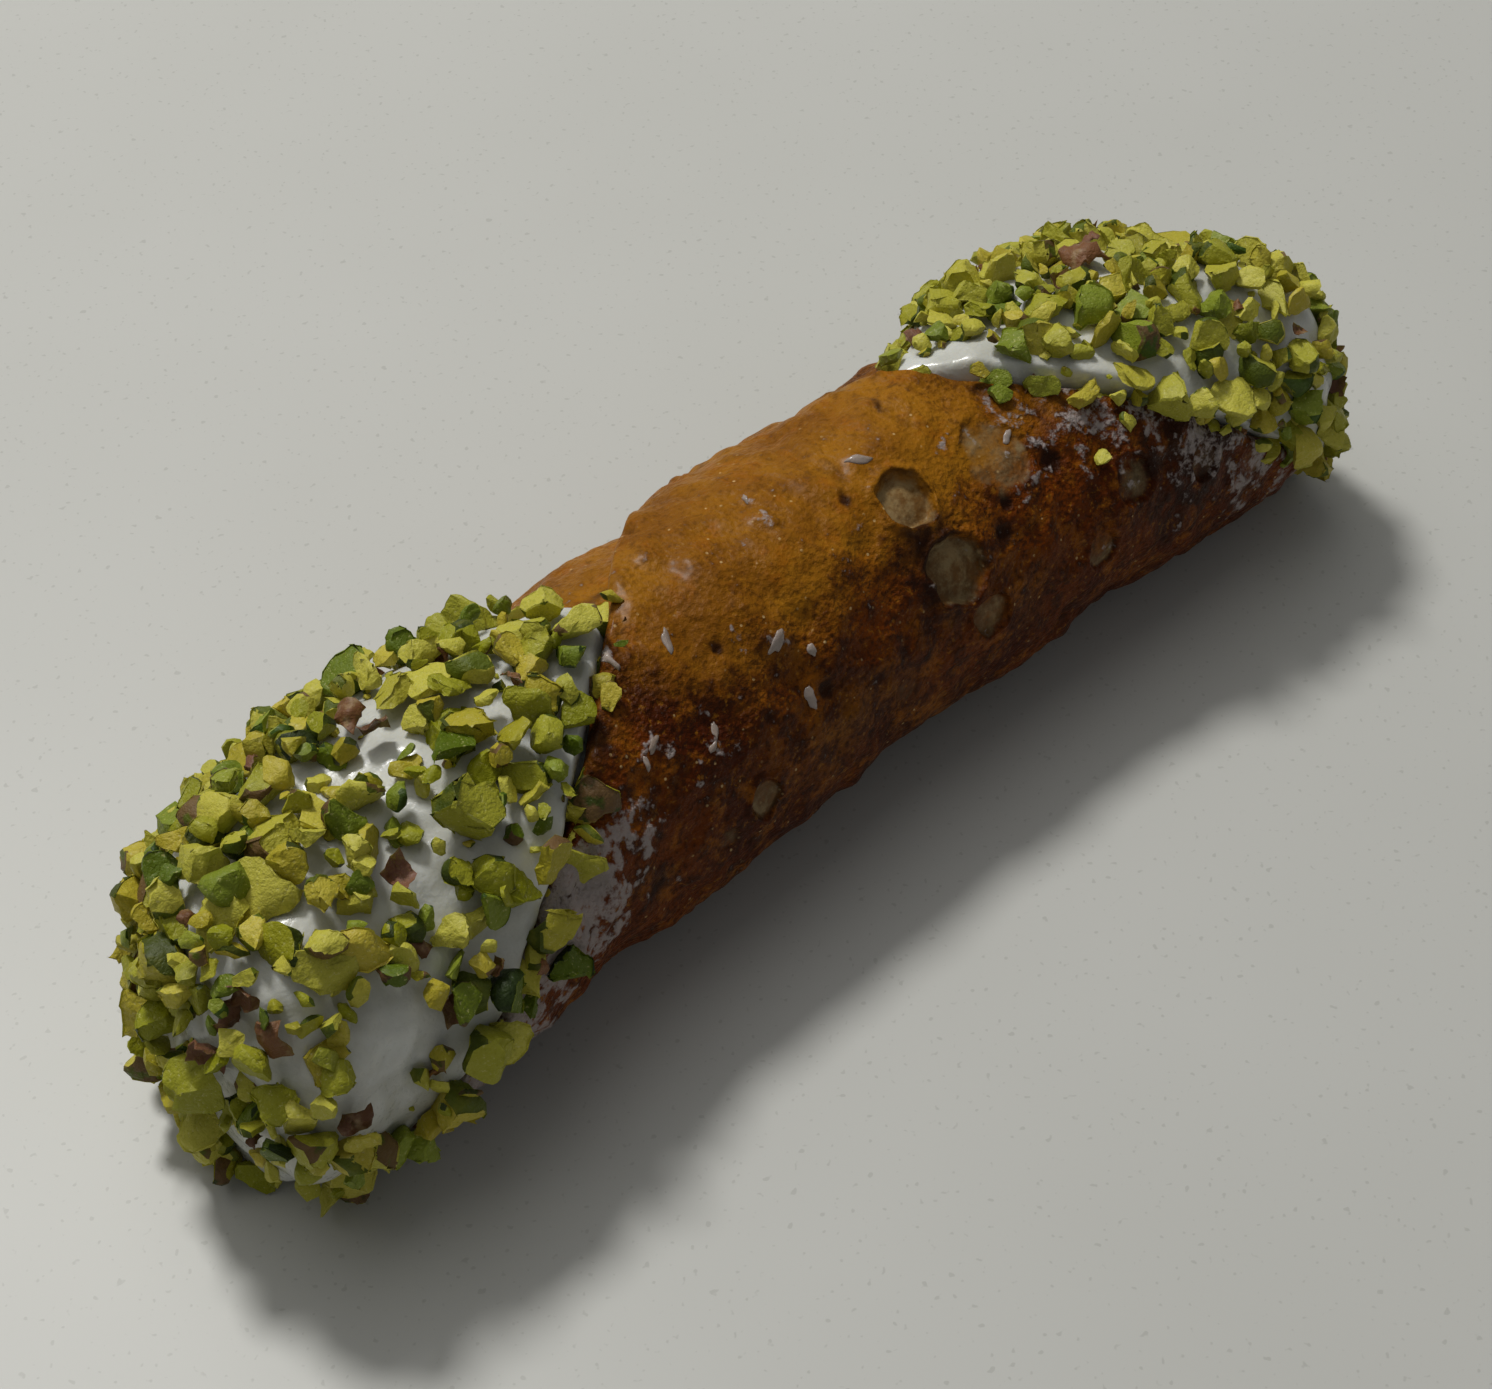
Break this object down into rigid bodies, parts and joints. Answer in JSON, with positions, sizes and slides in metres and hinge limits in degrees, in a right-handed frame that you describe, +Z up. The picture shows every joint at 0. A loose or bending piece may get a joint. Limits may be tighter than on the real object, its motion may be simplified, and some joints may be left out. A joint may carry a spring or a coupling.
{
  "type": "cannoli",
  "caption": "Sicilian cannolo: a fried pastry sheet rolled into a tube with slanted mouths, filled with white cream and coated at both ends with chopped pistachios.",
  "frame": {"origin": "middle of the flat strip on the underside that the pastry tube rests on", "axes": "+X along the tube, from the end with more pistachios towards the other; +Z up; the outer flap comes up over the top from the -Y side"},
  "size_m": [0.1548, 0.0425, 0.0383],
  "materials": {
    "fried_dough": "satin",
    "cream_and_nuts": "satin"
  },
  "bodies": {
    "root": {"shell": "fried_dough", "filling": "cream_and_nuts"}
  },
  "joints": []
}
